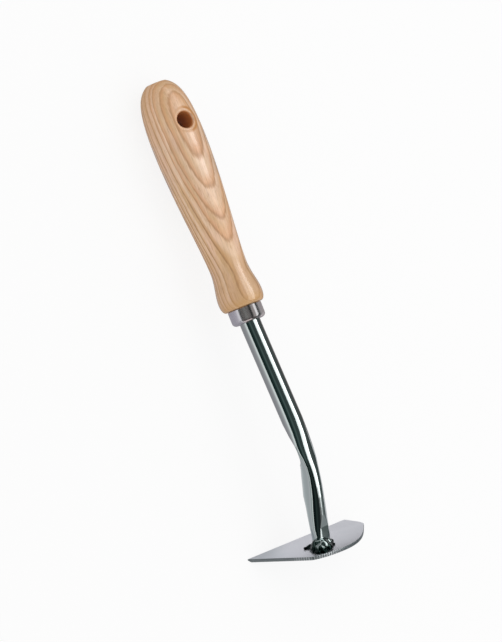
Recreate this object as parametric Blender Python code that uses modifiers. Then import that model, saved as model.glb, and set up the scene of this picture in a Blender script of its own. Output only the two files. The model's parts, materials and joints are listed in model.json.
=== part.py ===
"""Hand hoe: a turned ash handle, a plated ferrule, a bent steel tube and a welded blade.

Everything is modelled in the tool's own frame: +X runs from the butt of the handle to the
blade, +Z points away from the cutting edge, and Y = 0 is the plane in which the tube bends.
The empty that carries the pieces then lays the tool on a table, where it rests on the belly
of the handle and on its cutting edge. Sizes are in metres.
"""

import bmesh
import bpy
import numpy as np
from math import atan2, cos, pi, radians, sin, tan
from mathutils import Matrix, Vector

# Clearances
SEAT_GAP = 0.0003          # between pieces that rest on each other
SLIP_GAP = 0.0003          # round the tube, in the handle's bore and in the ferrule

# Handle, from its butt end at X = 0
HANDLE_LENGTH = 0.135      # butt to the shoulder that the ferrule meets
BUTT_FLAT = 0.012          # diameter of the flat left by the lathe's centre
BUTT_ROUND = 0.037         # length of the rounded end, as far as the belly
BELLY_DIAMETER = 0.031
WAIST_DIAMETER = 0.0216
WAIST_TO_SHOULDER = 0.0235
FLARE_DIAMETER = 0.0262
FLARE_TO_SHOULDER = 0.006
SHOULDER_OVERHANG = 0.0005  # how far the wood stands over the ferrule
SPIGOT_BREAK = 0.0011      # chamfer that clears the ferrule's rounded end

HOLE_TO_BUTT = 0.026       # the hanging hole
HOLE_DIAMETER = 0.0098
HOLE_RIM = 0.0022          # rounding of its mouths
RIM_SINK = 0.0025          # depth below the belly's skin at which the rounding starts
RIM_SWEEP = radians(60)    # angle through which it turns before it runs out

# Fullness of the handle's outline: shares of a stretch that its curve's handles span
BUTT_FULLNESS = (0.11, 0.68, 0.32)
BELLY_PULL = 0.36
WAIST_PULL_BEFORE = 0.19
WAIST_PULL_AFTER = 0.37
FLARE_PULL_BEFORE = 0.31
FLARE_PULL_AFTER = 0.58
SHOULDER_PULL = 0.35

# Ferrule: a pressed cup over the handle's spigot
FERRULE_DIAMETER = 0.0198
FERRULE_LENGTH = 0.009
FERRULE_WALL = 0.0008
FERRULE_ROUND = 0.0024     # outer radius of its closed end
FERRULE_RIM_BREAK = 0.0002

# Tube
TUBE_DIAMETER = 0.012
TUBE_WALL = 0.0012
TANG_LENGTH = 0.058        # the part driven into the handle
TANG_TAPER = 0.040         # the stretch of it that is swaged down
TANG_TIP_DIAMETER = 0.009
KINK_ANGLE = radians(3.1)  # the tube leaves the handle at a small angle
KINK_LENGTH = 0.006
UPPER_LENGTH = 0.062       # straight run from the kink to the neck
NECK_LENGTH = 0.028
NECK_ANGLE = radians(24.6)
LOWER_LENGTH = 0.039       # straight run from the neck to the blade

# Lower half of the tube, from its foot up. Reaches are measured from its axis, away from the
# cutting edge (outer) and towards it (inner).
DENT_TO_FOOT = 0.051       # where the bend has buckled the inner side
DENT_RUN = 0.018           # length over which the bend flattens the tube
DENT_INNER = 0.0033
DENT_OUTER = 0.0045
DENT_WIDTH = 0.0102
PINCH_RUN = 0.009          # from the dent to where the pressed section is complete
PINCH_INNER = 0.0058
PINCH_OUTER = 0.0055
PINCH_WIDTH = 0.0092
PRESS_TO_FOOT = 0.030      # where the pressed section is deepest
PRESSED_INNER = 0.0062
PRESSED_OUTER = 0.0062
PRESSED_WIDTH = 0.0100
FLAT_TO_FOOT = 0.018       # where the flat on the outer side of the foot runs out
FLAT_INNER = 0.0048
FLAT_OUTER = 0.0055
FOOT_INNER = 0.0036
FOOT_OUTER = 0.0050
FOOT_WIDTH = 0.0110
FOOT_FLAT_DEPTH = 0.0005
SQUARENESS = 2.2           # exponent of the pressed section, 2 is an ellipse

# Blade, measured in its own plane from the middle of the foot
BLADE_THICKNESS = 0.0020
EDGE_TO_FOOT = 0.0232      # cutting edge, straight
POINT_TO_MIDDLE = 0.0356   # sharp corner, on the -Y side
HEEL_TO_MIDDLE = 0.0360    # blunt corner, on the +Y side
BACK_TO_FOOT = 0.0133      # crown of the rounded back
POINT_ANGLE = radians(57.3)  # between the cutting edge and the slanting side
SLANT_LENGTH = 0.0367      # straight part of the slanting side
HEEL_BULGE = 0.0018        # how far the end swells past the blunt corner
HEEL_RISE = 0.0125         # height of that swelling above the cutting edge
SHOULDER_RISE = 0.0194     # where the end turns into the back
SHOULDER_INSET = 0.0017
SHOULDER_LEAN = radians(50)  # steepness of the back there
CROWN_SHIFT = 0.0046       # crown to the middle, towards the blunt corner
BACK_PULL = (0.41, 0.54)   # fullness of the back between crown and shoulder
CROWN_PULL = 0.45          # fullness of it between crown and slanting side
TURN_IN_PULL = 0.20
END_PULL = 0.30            # fullness of the blunt end
EDGE_LAND = 0.0008         # flat left on the ground cutting edge
EDGE_BEVEL = 0.0015        # width of the ground bevel, on the outer face

# Weld
WELD_LEG = 0.0024          # spread over the blade
WELD_HEIGHT = 0.0034       # climb up the tube
WELD_LUMP = 0.0032         # how much further it spreads where the welder started
WELD_LUMP_TURN = radians(-40)  # from the back of the tube towards the sharp corner
WELD_RIPPLE = 0.18         # share by which the bead swells and thins
WELD_SWELLS = 7            # ripples round the foot

# Fineness of the solids
TURN_STEPS = 40
TUBE_SIDES = 24
CURVE_STEPS = 8
WELD_STEPS = 42
WELD_FACETS = 7

COLLECTION = "hand_hoe"


def clear_scene():
    for obj in list(bpy.data.objects):
        bpy.data.objects.remove(obj, do_unlink=True)


def collection(name):
    made = bpy.data.collections.new(name)
    bpy.context.scene.collection.children.link(made)
    return made


def material(name, colour, metallic, roughness):
    made = bpy.data.materials.new(name)
    made.use_nodes = True
    shader = made.node_tree.nodes["Principled BSDF"]
    shader.inputs["Base Color"].default_value = (*colour, 1.0)
    shader.inputs["Metallic"].default_value = metallic
    shader.inputs["Roughness"].default_value = roughness
    return made


def add_object(name, data, home, parent, finish=None):
    obj = bpy.data.objects.new(name, data)
    home.objects.link(obj)
    obj.parent = parent
    if finish:
        data.materials.append(finish)
    return obj


def hide_cutter(cutter):
    cutter.hide_render = True
    cutter.display_type = "WIRE"


def bezier(start, pull_start, pull_end, end, steps=CURVE_STEPS):
    """Points after start, up to end, of a cubic curve in (distance, radius)."""
    knots = np.array([start, pull_start, pull_end, end])
    points = []
    for step in range(1, steps + 1):
        t = step / steps
        weights = np.array([(1 - t) ** 3, 3 * t * (1 - t) ** 2, 3 * t * t * (1 - t), t ** 3])
        points.append(tuple(weights @ knots))
    return points


def arc(centre, radius, first, last, steps=6):
    """Points of a circular arc in (distance, radius), angles measured from the distance axis."""
    points = []
    for step in range(steps + 1):
        angle = first + (last - first) * step / steps
        points.append((centre[0] + radius * cos(angle), centre[1] + radius * sin(angle)))
    return points


def turned(name, profile, home, parent, finish=None, closed=False):
    """A solid turned from (distance along the axis, radius), listed from the far end down.

    The profile stands at +X of the object and the axis is the object's Z.
    """
    mesh = bpy.data.meshes.new(name)
    points = [(radius, 0.0, height) for height, radius in profile]
    edges = [(i, i + 1) for i in range(len(points) - 1)]
    if closed:
        edges.append((len(points) - 1, 0))
    mesh.from_pydata(points, edges, [])
    obj = add_object(name, mesh, home, parent, finish)
    screw = obj.modifiers.new("turn", "SCREW")
    screw.steps = TURN_STEPS
    screw.render_steps = TURN_STEPS
    screw.use_merge_vertices = True
    screw.merge_threshold = 0.00001
    screw.use_smooth_shade = True
    return obj


def closed_grid(name, rings, home, parent, finish):
    """A ring-shaped solid lofted through rings of equal count, the last joined to the first."""
    shape = bmesh.new()
    loops = [[shape.verts.new(point) for point in ring] for ring in rings]
    count = len(rings[0])
    for index, loop in enumerate(loops):
        following = loops[(index + 1) % len(loops)]
        for side in range(count):
            beside = (side + 1) % count
            shape.faces.new((loop[side], loop[beside], following[beside], following[side]))
    bmesh.ops.recalc_face_normals(shape, faces=shape.faces)
    mesh = bpy.data.meshes.new(name)
    shape.to_mesh(mesh)
    shape.free()
    mesh.shade_smooth()
    mesh.set_sharp_from_angle(angle=radians(40))
    return add_object(name, mesh, home, parent, finish)


def lie_along_handle(obj, butt_distance):
    """Turn an upright turned piece so that its top faces the butt, its zero at a distance."""
    obj.rotation_euler = (0.0, -pi / 2, 0.0)
    obj.location = (butt_distance, 0.0, 0.0)


# Handle

def tang_radius(depth):
    """Radius of the driven tube at a depth from its tip."""
    share = min(depth / TANG_TAPER, 1.0)
    return (TANG_TIP_DIAMETER + (TUBE_DIAMETER - TANG_TIP_DIAMETER) * share) / 2


def grip_profile():
    """Outside of the handle from the butt to the shoulder, as (distance from butt, radius)."""
    butt = BUTT_FLAT / 2
    belly = BELLY_DIAMETER / 2
    waist = WAIST_DIAMETER / 2
    flare = FLARE_DIAMETER / 2
    waist_at = HANDLE_LENGTH - WAIST_TO_SHOULDER
    flare_at = HANDLE_LENGTH - FLARE_TO_SHOULDER
    collar = FERRULE_DIAMETER / 2 + SHOULDER_OVERHANG
    grip = waist_at - BUTT_ROUND
    neck = flare_at - waist_at

    profile = [(0.0, butt)]
    out, up, along = BUTT_FULLNESS
    profile += bezier((0.0, butt),
                      (out * BUTT_ROUND, butt + up * (belly - butt)),
                      (along * BUTT_ROUND, belly),
                      (BUTT_ROUND, belly))
    profile += bezier((BUTT_ROUND, belly),
                      (BUTT_ROUND + BELLY_PULL * grip, belly),
                      (waist_at - WAIST_PULL_BEFORE * grip, waist),
                      (waist_at, waist))
    profile += bezier((waist_at, waist),
                      (waist_at + WAIST_PULL_AFTER * neck, waist),
                      (flare_at - FLARE_PULL_BEFORE * neck, flare),
                      (flare_at, flare))
    profile += bezier((flare_at, flare),
                      (flare_at + FLARE_PULL_AFTER * FLARE_TO_SHOULDER, flare),
                      (HANDLE_LENGTH, flare - SHOULDER_PULL * (flare - collar)),
                      (HANDLE_LENGTH, collar))
    return profile


def grip_radius(distance):
    points = grip_profile()
    return float(np.interp(distance, [p[0] for p in points], [p[1] for p in points]))


def make_handle(home, cutters, parent, finish):
    spigot_radius = FERRULE_DIAMETER / 2 - FERRULE_WALL - SLIP_GAP
    spigot_end = HANDLE_LENGTH + FERRULE_LENGTH - FERRULE_WALL - SEAT_GAP
    tang_tip = HANDLE_LENGTH + FERRULE_LENGTH - TANG_LENGTH
    bore_end = tang_tip - SEAT_GAP

    outline = [(0.0, 0.0)] + grip_profile()
    outline += [(HANDLE_LENGTH, spigot_radius), (spigot_end - SPIGOT_BREAK, spigot_radius),
                (spigot_end, spigot_radius - SPIGOT_BREAK)]
    bore = [(spigot_end, TUBE_DIAMETER / 2 + SLIP_GAP),
            (tang_tip + TANG_TAPER, TUBE_DIAMETER / 2 + SLIP_GAP),
            (bore_end, TANG_TIP_DIAMETER / 2 + SLIP_GAP),
            (bore_end, 0.0)]
    profile = [(-distance, radius) for distance, radius in outline + bore]
    handle = turned("handle", profile, home, parent, finish)
    lie_along_handle(handle, 0.0)

    surface = grip_radius(HOLE_TO_BUTT)
    bore_radius = HOLE_DIAMETER / 2
    rim_centre = (surface - RIM_SINK, bore_radius + HOLE_RIM)
    rim = arc(rim_centre, HOLE_RIM, -pi / 2, -pi / 2 + RIM_SWEEP)
    outside = surface + HOLE_RIM
    height, radius = rim[-1]
    flare = (outside, radius + (outside - height) * tan(RIM_SWEEP))
    mouth = rim + [flare, (outside, 0.0)]
    below = [(-distance, radius) for distance, radius in mouth]
    cutter = turned("hole_cutter", mouth[::-1] + below, cutters, parent)
    cutter.location = (HOLE_TO_BUTT, 0.0, 0.0)
    hide_cutter(cutter)

    drill = handle.modifiers.new("hanging hole", "BOOLEAN")
    drill.operation = "DIFFERENCE"
    drill.solver = "EXACT"
    drill.object = cutter
    return handle


# Ferrule

def make_ferrule(home, parent, finish):
    """A cup that opens towards the handle, with a hole for the tube in its closed end."""
    outer = FERRULE_DIAMETER / 2
    inner = outer - FERRULE_WALL
    hole = TUBE_DIAMETER / 2 + SLIP_GAP
    depth = FERRULE_LENGTH - SEAT_GAP
    inner_round = FERRULE_ROUND - FERRULE_WALL
    lip = FERRULE_RIM_BREAK

    profile = [(depth, inner + lip), (depth, outer - lip), (depth - lip, outer)]
    profile += arc((FERRULE_ROUND, outer - FERRULE_ROUND), FERRULE_ROUND, pi / 2, pi)
    profile += [(0.0, hole), (FERRULE_WALL, hole)]
    profile += arc((FERRULE_ROUND, inner - inner_round), inner_round, pi, pi / 2)
    profile += [(depth - lip, inner)]
    ferrule = turned("ferrule", profile, home, parent, finish, closed=True)
    lie_along_handle(ferrule, HANDLE_LENGTH + FERRULE_LENGTH)
    return ferrule


# Tube

def tube_path():
    """Centre line from the tang's tip to the foot, as (point, angle above +X, distance)."""
    start = HANDLE_LENGTH + FERRULE_LENGTH - TANG_LENGTH
    runs = [(TANG_TAPER, 0.0, 1), (TANG_LENGTH - TANG_TAPER, 0.0, 1),
            (KINK_LENGTH, KINK_ANGLE, 3), (UPPER_LENGTH, 0.0, 4),
            (NECK_LENGTH, -NECK_ANGLE, 12), (LOWER_LENGTH, 0.0, 14)]
    point = Vector((start, 0.0, 0.0))
    angle = 0.0
    walked = 0.0
    stations = [(point.copy(), angle, walked)]
    for length, turn, steps in runs:
        for _ in range(steps):
            heading = angle + turn / steps / 2
            point += Vector((cos(heading), 0.0, sin(heading))) * (length / steps)
            angle += turn / steps
            walked += length / steps
            stations.append((point.copy(), angle, walked))
    return stations


def tube_halves(height):
    """Half sizes of the tube at a height above the foot: outer, inner and side, and exponent."""
    plain = TUBE_DIAMETER / 2
    heights = [0.0, FLAT_TO_FOOT, PRESS_TO_FOOT, DENT_TO_FOOT - PINCH_RUN, DENT_TO_FOOT,
               DENT_TO_FOOT + DENT_RUN]
    outer = [FOOT_OUTER, FLAT_OUTER, PRESSED_OUTER, PINCH_OUTER, DENT_OUTER, plain]
    inner = [FOOT_INNER, FLAT_INNER, PRESSED_INNER, PINCH_INNER, DENT_INNER, plain]
    side = [FOOT_WIDTH / 2, FOOT_WIDTH / 2, PRESSED_WIDTH / 2, PINCH_WIDTH / 2, DENT_WIDTH / 2,
            plain]
    power = [SQUARENESS, SQUARENESS, SQUARENESS, SQUARENESS, 2.1, 2.0]
    return [float(np.interp(height, heights, row)) for row in (outer, inner, side, power)]


def tube_section(height, turn, growth=0.0):
    """Offsets (away from the cutting edge, across) of the tube's skin at an angle round it."""
    outer, inner, side, power = tube_halves(height)
    up = cos(turn)
    across = sin(turn)
    reach = (outer if up > 0 else inner) + growth
    flat = outer - FOOT_FLAT_DEPTH * max(0.0, 1.0 - height / FLAT_TO_FOOT) + growth
    rise = reach * abs(up) ** (2 / power) * (1 if up > 0 else -1)
    spread = (side + growth) * abs(across) ** (2 / power) * (1 if across > 0 else -1)
    return min(rise, flat), spread


def make_shank(home, parent, finish):
    stations = tube_path()
    total = stations[-1][2]

    def ring(station, growth):
        point, angle, walked = station
        lift = Vector((-sin(angle), 0.0, cos(angle)))
        across = Vector((0.0, 1.0, 0.0))
        points = []
        for side in range(TUBE_SIDES):
            turn = 2 * pi * side / TUBE_SIDES
            rise, spread = tube_section(total - walked, turn, growth)
            if walked < TANG_LENGTH:
                radius = tang_radius(walked) + growth
                rise, spread = radius * cos(turn), radius * sin(turn)
            points.append(point + lift * rise + across * spread)
        return points

    rings = [ring(station, 0.0) for station in stations]
    rings += [ring(station, -TUBE_WALL) for station in reversed(stations)]
    return closed_grid("shank", rings, home, parent, finish)


# Blade and weld share a frame: X across, Y away from the cutting edge, Z out of the foot

def foot_frame():
    point, angle, _ = tube_path()[-1]
    out = Vector((cos(angle), 0.0, sin(angle)))
    back = Vector((-sin(angle), 0.0, cos(angle)))
    across = Vector((0.0, 1.0, 0.0))
    frame = Matrix((across, back, out)).transposed().to_4x4()
    frame.translation = point + out * SEAT_GAP
    return frame


def blade_outline():
    """Corners of the blade as (point, handle before, handle after), anticlockwise from the tip.

    A side without handles is straight.
    """
    bottom = -EDGE_TO_FOOT
    tip = Vector((-POINT_TO_MIDDLE, bottom, 0.0))
    heel = Vector((HEEL_TO_MIDDLE, bottom, 0.0))
    bulge = heel + Vector((HEEL_BULGE, HEEL_RISE, 0.0))
    shoulder = heel + Vector((-SHOULDER_INSET, SHOULDER_RISE, 0.0))
    crown = Vector((CROWN_SHIFT, BACK_TO_FOOT, 0.0))
    slant = Vector((cos(POINT_ANGLE), sin(POINT_ANGLE), 0.0))
    turn_in = tip + slant * SLANT_LENGTH
    along = Vector((1.0, 0.0, 0.0))
    climb = Vector((0.0, 1.0, 0.0))
    lean = Vector((-cos(SHOULDER_LEAN), sin(SHOULDER_LEAN), 0.0))
    back = shoulder.x - crown.x
    front = crown.x - turn_in.x
    end = END_PULL * HEEL_RISE
    return [(tip, None, None),
            (heel, None, heel + (bulge - heel) * END_PULL),
            (bulge, bulge - climb * end, bulge + climb * end),
            (shoulder, shoulder - lean * end, shoulder + lean * back * BACK_PULL[1]),
            (crown, crown + along * back * BACK_PULL[0], crown - along * front * CROWN_PULL),
            (turn_in, turn_in + slant * front * TURN_IN_PULL, None)]


def make_blade(home, cutters, parent, finish):
    curve = bpy.data.curves.new("blade_outline", "CURVE")
    curve.dimensions = "2D"
    curve.fill_mode = "BOTH"
    curve.extrude = BLADE_THICKNESS / 2
    curve.resolution_u = 6
    spline = curve.splines.new("BEZIER")
    spline.use_cyclic_u = True
    corners = blade_outline()
    spline.bezier_points.add(len(corners) - 1)
    for knot, (point, before, after) in zip(spline.bezier_points, corners):
        knot.handle_left_type = "FREE" if before else "VECTOR"
        knot.handle_right_type = "FREE" if after else "VECTOR"
        knot.co = point
        knot.handle_left = before or point
        knot.handle_right = after or point
    outline = add_object("blade_outline", curve, home, parent)
    plate = bpy.data.meshes.new_from_object(
        outline.evaluated_get(bpy.context.evaluated_depsgraph_get()))
    bpy.data.objects.remove(outline, do_unlink=True)
    weld_loose_caps(plate)

    blade = add_object("blade", plate, home, parent, finish)
    middle = foot_frame() @ Matrix.Translation((0.0, 0.0, BLADE_THICKNESS / 2))
    blade.matrix_local = middle

    depth = BLADE_THICKNESS - EDGE_LAND
    slope = atan2(depth, EDGE_BEVEL)
    length = 2 * (POINT_TO_MIDDLE + HEEL_TO_MIDDLE)
    width = 4 * EDGE_BEVEL
    bpy.ops.mesh.primitive_cube_add(size=1.0)
    cutter = bpy.context.object
    cutter.name = "bevel_cutter"
    for holder in list(cutter.users_collection):
        holder.objects.unlink(cutter)
    cutters.objects.link(cutter)
    cutter.parent = parent
    cutter.data.transform(Matrix.Diagonal((length, width, width, 1.0)))
    cutter.data.transform(Matrix.Translation((0.0, 0.0, width / 2)))
    ground = Matrix.Translation((0.0, -EDGE_TO_FOOT, EDGE_LAND)) @ Matrix.Rotation(slope, 4, "X")
    cutter.matrix_local = foot_frame() @ ground
    hide_cutter(cutter)

    grind = blade.modifiers.new("cutting edge", "BOOLEAN")
    grind.operation = "DIFFERENCE"
    grind.solver = "EXACT"
    grind.object = cutter
    return blade


def weld_loose_caps(mesh):
    shape = bmesh.new()
    shape.from_mesh(mesh)
    bmesh.ops.remove_doubles(shape, verts=shape.verts, dist=0.00001)
    bmesh.ops.recalc_face_normals(shape, faces=shape.faces)
    shape.to_mesh(mesh)
    shape.free()


def make_weld(home, parent, finish):
    """A lumpy fillet round the foot, between the tube's skin and the blade's face."""
    rings = []
    for step in range(WELD_STEPS):
        turn = 2 * pi * step / WELD_STEPS
        ripple = 1 + WELD_RIPPLE * (0.6 * sin(WELD_SWELLS * turn) + 0.4 * sin(3 * turn + 1.0))
        leg = WELD_LEG * ripple + WELD_LUMP * max(0.0, cos(turn - WELD_LUMP_TURN)) ** 3
        climb = WELD_HEIGHT * (1 + WELD_RIPPLE * sin((WELD_SWELLS - 2) * turn + 2.0))
        section = []
        for facet in range(WELD_FACETS):
            lean = pi / 2 * facet / (WELD_FACETS - 1)
            rise = climb * sin(lean)
            back, across = tube_section(rise, turn, SLIP_GAP + leg * cos(lean))
            section.append((across, back, -SEAT_GAP - rise))
        root_back, root_across = tube_section(0.0, turn, SLIP_GAP)
        section.append((root_across, root_back, -SEAT_GAP))
        rings.append(section)
    weld = closed_grid("weld_bead", rings, home, parent, finish)
    weld.matrix_local = foot_frame()
    return weld


# Laying the tool down

def world_points(obj):
    seen = obj.evaluated_get(bpy.context.evaluated_depsgraph_get())
    mesh = seen.to_mesh()
    points = np.empty(len(mesh.vertices) * 3)
    mesh.vertices.foreach_get("co", points)
    seen.to_mesh_clear()
    points = points.reshape(-1, 3)
    place = np.array(obj.matrix_world)
    return points @ place[:3, :3].T + place[:3, 3]


def lay_down(tool, handle, blade, pieces):
    """Turn the tool about Y until handle and blade touch the table, and centre it over 0, 0."""
    bpy.context.view_layer.update()
    grip = world_points(handle)
    plate = world_points(blade)
    tilt = 0.0
    for _ in range(8):
        grip_low = grip[np.argmin(grip[:, 2] * cos(tilt) - grip[:, 0] * sin(tilt))]
        plate_low = plate[np.argmin(plate[:, 2] * cos(tilt) - plate[:, 0] * sin(tilt))]
        tilt = atan2(plate_low[2] - grip_low[2], plate_low[0] - grip_low[0])
    tool.rotation_euler = (0.0, tilt, 0.0)
    bpy.context.view_layer.update()
    cloud = np.concatenate([world_points(piece) for piece in pieces])
    low = cloud.min(axis=0)
    high = cloud.max(axis=0)
    tool.location = (-(low[0] + high[0]) / 2, -(low[1] + high[1]) / 2, -low[2])
    bpy.context.view_layer.update()


def main():
    clear_scene()
    home = collection(COLLECTION)
    cutters = collection("cutters")
    tool = add_object("tool", None, home, None)

    ash = material("lacquered_ash", (0.68, 0.46, 0.27), 0.0, 0.28)
    plated = material("plated_ferrule", (0.62, 0.62, 0.64), 1.0, 0.16)
    chrome = material("chromed_tube", (0.55, 0.57, 0.57), 1.0, 0.10)
    bead = material("chromed_weld", (0.36, 0.40, 0.40), 1.0, 0.22)
    steel = material("satin_steel", (0.52, 0.54, 0.56), 1.0, 0.38)

    handle = make_handle(home, cutters, tool, ash)
    ferrule = make_ferrule(home, tool, plated)
    shank = make_shank(home, tool, chrome)
    weld = make_weld(home, tool, bead)
    blade = make_blade(home, cutters, tool, steel)
    lay_down(tool, handle, blade, [handle, ferrule, shank, weld, blade])


main()
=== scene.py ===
# %% [markdown]
# # Hand hoe
# A small hoe for weeding: an ash handle turned on a lathe, a plated ferrule, a bent steel
# tube and a blade that is welded across the tube's end. The measured model comes first.
# It fixes where everything sits, and the pieces below stand in for its plain solids.

# %% Load the measured model
import json
from functools import partial
from math import atan2, copysign, cos, pi, radians, sin, sqrt, tan

import bmesh
import bpy
import numpy as np
from mathutils import Matrix, Vector


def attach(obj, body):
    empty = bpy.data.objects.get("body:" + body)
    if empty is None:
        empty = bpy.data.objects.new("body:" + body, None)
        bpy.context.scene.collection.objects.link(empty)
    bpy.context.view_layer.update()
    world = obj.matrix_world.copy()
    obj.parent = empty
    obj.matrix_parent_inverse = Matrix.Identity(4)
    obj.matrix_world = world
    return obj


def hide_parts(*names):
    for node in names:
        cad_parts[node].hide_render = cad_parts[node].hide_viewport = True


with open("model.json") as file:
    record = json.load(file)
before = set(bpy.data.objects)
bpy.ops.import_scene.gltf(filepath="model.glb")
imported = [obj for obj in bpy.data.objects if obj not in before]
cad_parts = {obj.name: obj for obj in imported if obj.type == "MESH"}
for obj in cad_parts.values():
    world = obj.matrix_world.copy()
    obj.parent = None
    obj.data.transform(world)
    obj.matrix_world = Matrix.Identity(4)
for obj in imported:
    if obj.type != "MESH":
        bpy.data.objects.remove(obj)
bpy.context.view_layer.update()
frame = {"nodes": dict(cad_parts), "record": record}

print("nodes:", ", ".join(sorted(frame["nodes"])))

# %% [markdown]
# ## One frame for all pieces
# The tool lies tilted on the table, on its handle's belly and its cutting edge. It is far
# easier to draw it straight: X along the handle from the butt, Z away from the cutting edge,
# in millimetres. The model's mounts say where the butt's flat is and which way it faces, so
# they give the matrix that lays a finished mesh down on the table, in metres.

# %% The tool's own frame
mounts = {mount["name"]: mount for mount in frame["record"]["mounts"]}
along = -Vector(mounts["butt_end"]["axis"]).normalized()
across = Vector((0, 1, 0))
TILT = Matrix((along, across, along.cross(across))).transposed()
TOOL = Matrix.Translation(Vector(mounts["butt_end"]["pos_m"])) @ TILT.to_4x4()
MM = 0.001
LAY = TOOL @ Matrix.Scale(MM, 4)
print("tool tilted by", round(TILT.to_euler().y * 180 / pi, 2), "degrees")

# %% [markdown]
# ## Nodes
# Adding a node, setting it and linking it is one call. Inputs are given by name, or in a
# tuple in the order in which the node shows them, and a colour ramp's stops as (position,
# colour or grey). Each tree comes with its own add. Colours are written in sRGB hex, and
# shaders want them linear.

# %% Adding nodes
PREFIXES = ("GeometryNode", "FunctionNode", "ShaderNode", "Node")


def colour(code):
    """Linear RGBA from sRGB hex."""
    parts = [int(code[i:i + 2], 16) / 255 for i in (1, 3, 5)]
    return (*[c / 12.92 if c <= 0.04045 else ((c + 0.055) / 1.055) ** 2.4 for c in parts], 1)


def feed(node, inputs):
    """Set or link inputs. A value may be a number, a hex colour, a socket or a node."""
    shown = [socket for socket in node.inputs if socket.enabled]
    if isinstance(inputs, dict):
        named = {socket.name: socket for socket in shown}
        inputs, shown = inputs.values(), [named[name] for name in inputs]
    for socket, value in zip(shown, inputs):
        if isinstance(value, bpy.types.Node):
            value = next(output for output in value.outputs if output.enabled)
        if isinstance(value, bpy.types.NodeSocket):
            node.id_data.links.new(value, socket)
        else:
            is_hex = isinstance(value, str) and value.startswith("#")
            socket.default_value = colour(value) if is_hex else value


def add_node(tree, kind, inputs=(), stops=(), **settings):
    """A kind is Blender's without its prefix, and may name an operation or a data type too."""
    kind, _, mode = kind.partition(" ")
    made = tree.nodes.new(next(p + kind for p in PREFIXES if hasattr(bpy.types, p + kind)))
    if mode:
        setattr(made, "operation" if hasattr(made, "operation") else "data_type", mode)
    for name, value in settings.items():
        setattr(made, name, value)
    for number, (at, tone) in enumerate(stops):
        band = made.color_ramp.elements
        stop = band.new(at) if number > 1 else band[number]
        stop.position = at
        stop.color = colour(tone) if isinstance(tone, str) else (tone, tone, tone, 1)
    feed(made, inputs)
    return made


# %% [markdown]
# ## Meshes
# Repeated and swept shapes are grown by Geometry Nodes from a wire, a mesh of vertices and
# edges that says where. The result is kept as a plain mesh: the modifier is evaluated once
# and then removed. Drawn in millimetres, each piece is laid down on the table at the end.

# %% Growing, closing and placing meshes
def new_tree(name, sockets):
    """A geometry tree's add, and its named inputs, given as {name: kind of socket}."""
    tree = bpy.data.node_groups.new(name, "GeometryNodeTree")
    tree.interface.new_socket("Geometry", in_out="OUTPUT", socket_type="NodeSocketGeometry")
    for title, kind in sockets.items():
        tree.interface.new_socket(title, in_out="INPUT", socket_type="NodeSocket" + kind)
    return partial(add_node, tree), tree.nodes.new("NodeGroupInput").outputs


def end_tree(add, geometry, finish):
    """Real geometry instead of instances, with its material, is the tree's result."""
    whole = add("RealizeInstances", (geometry,))
    dressed = add("SetMaterial", {"Geometry": whole, "Material": finish})
    return add("GroupOutput", (dressed,)).id_data


def show(name, data):
    obj = bpy.data.objects.new(name, data)
    bpy.context.scene.collection.objects.link(obj)
    return obj


def wire(name, points, edges=None, attributes=None):
    """A path or an outline for a tree; without edges, each point joins the next."""
    mesh = bpy.data.meshes.new(name)
    if edges is None:
        edges = [(i, i + 1) for i in range(len(points) - 1)]
    mesh.from_pydata([tuple(point) for point in points], edges, [])
    for title, values in (attributes or {}).items():
        flat = np.asarray(values, np.float32)
        kind = ("FLOAT_VECTOR", "vector") if flat.ndim == 2 else ("FLOAT", "value")
        mesh.attributes.new(title, kind[0], "POINT").data.foreach_set(kind[1], flat.ravel())
    return show(name, mesh)


def bake_modifiers(obj):
    """Turn what the modifiers show into the object's own mesh."""
    shown = obj.evaluated_get(bpy.context.evaluated_depsgraph_get())
    mesh = bpy.data.meshes.new_from_object(shown)
    mesh.name = obj.name
    obj.modifiers.clear()
    obj.data = mesh


def grow(tree, name, inputs):
    """Run a geometry tree once and keep its result, removing the wires that it read."""
    obj = wire(name, [])
    modifier = obj.modifiers.new(tree.name, "NODES")
    modifier.node_group = tree
    for item in tree.interface.items_tree:
        if item.in_out == "INPUT":
            modifier[item.identifier] = inputs[item.name]
    bake_modifiers(obj)
    for value in inputs.values():
        if isinstance(value, bpy.types.Object):
            bpy.data.objects.remove(value)
    return obj


def close_up(obj, sharp=radians(35), merge=0.001):
    """Merge doubles, turn all faces outwards and shade smooth but for sharp edges."""
    shape = bmesh.new()
    shape.from_mesh(obj.data)
    bmesh.ops.remove_doubles(shape, verts=shape.verts, dist=merge)
    bmesh.ops.recalc_face_normals(shape, faces=shape.faces)
    open_edges = sum(not edge.is_manifold for edge in shape.edges)
    shape.to_mesh(obj.data)
    shape.free()
    obj.data.shade_smooth()
    obj.data.set_sharp_from_angle(angle=sharp)
    print(obj.name, "has", len(obj.data.polygons), "faces and", open_edges, "open edges")
    return obj


def place(obj, node):
    """Lay a piece down on the table and let it stand for its measured solid."""
    obj.data.transform(LAY)
    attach(obj, "root")
    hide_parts(node)


# %% [markdown]
# ## Lacquered ash
# Ash has wide, plain growth rings: each year starts with a row of large pores, which
# takes up more of the lacquer and looks like a thin brown line. The handle is turned from a
# board, so the rings are nearly flat sheets through it, and where the round surface cuts
# them they show as nested loops. The shader works out how deep a point lies below the
# first sheet and looks the colour up by that depth. Fibres and pores run along the handle,
# so their noise is stretched that way. All this is drawn in the tool's own millimetres: a
# Mapping node of type TEXTURE undoes the tilt and the scale of Object coordinates.

# %% Coordinates for materials
def new_material(name):
    """A material, its tree's add and its shader."""
    made = bpy.data.materials.new(name)
    made.use_nodes = True
    return made, partial(add_node, made.node_tree), made.node_tree.nodes["Principled BSDF"]


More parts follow.
